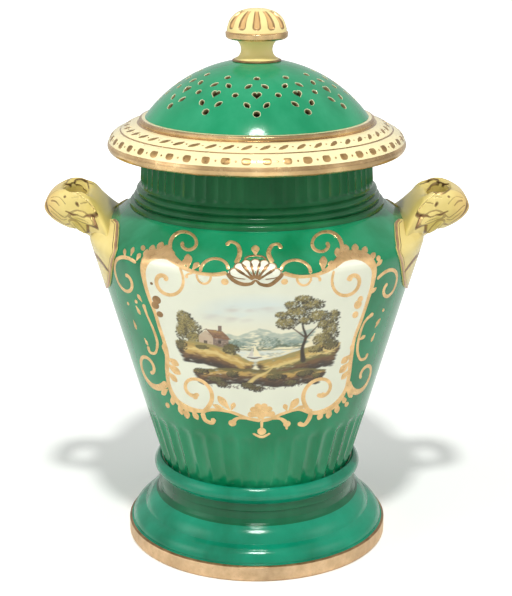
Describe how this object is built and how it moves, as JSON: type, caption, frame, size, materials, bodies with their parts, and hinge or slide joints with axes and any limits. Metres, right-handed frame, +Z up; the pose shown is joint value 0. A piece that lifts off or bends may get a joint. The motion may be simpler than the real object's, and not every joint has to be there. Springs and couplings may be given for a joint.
{
  "type": "leech jar",
  "caption": "Porcelain storage jar on a spreading socle, with two leaf-covered lug handles and a pierced domed cover that lifts off.",
  "frame": {"origin": "centre of the foot's underside, in the plane it stands on", "axes": "+Z up along the axis of the jar, -Y towards the painted front, +X towards the right-hand handle"},
  "size_m": [0.2684, 0.2106, 0.3444],
  "materials": {
    "green_glaze": "deep apple-green enamel under a clear gloss glaze, with gilding",
    "dome_glaze": "apple-green enamel under a clear gloss glaze, cream at the edges of the pierced holes",
    "yellow_glaze": "pale primrose-yellow glaze with gilt lines and brown-gilt leaf strokes"
  },
  "bodies": {
    "jar": {"socle": "green_glaze", "jar_body": "green_glaze", "neck_collar": "green_glaze", "handle_left": "yellow_glaze", "handle_right": "yellow_glaze"},
    "cover": {"cover_rim": "yellow_glaze", "cover_dome": "dome_glaze", "finial_knob": "yellow_glaze"}
  },
  "joints": [
    {"name": "cover_lift", "type": "slide", "parent": "jar", "child": "cover", "axis": [0, 0, 1], "range_m": [0, 0.1]}
  ]
}
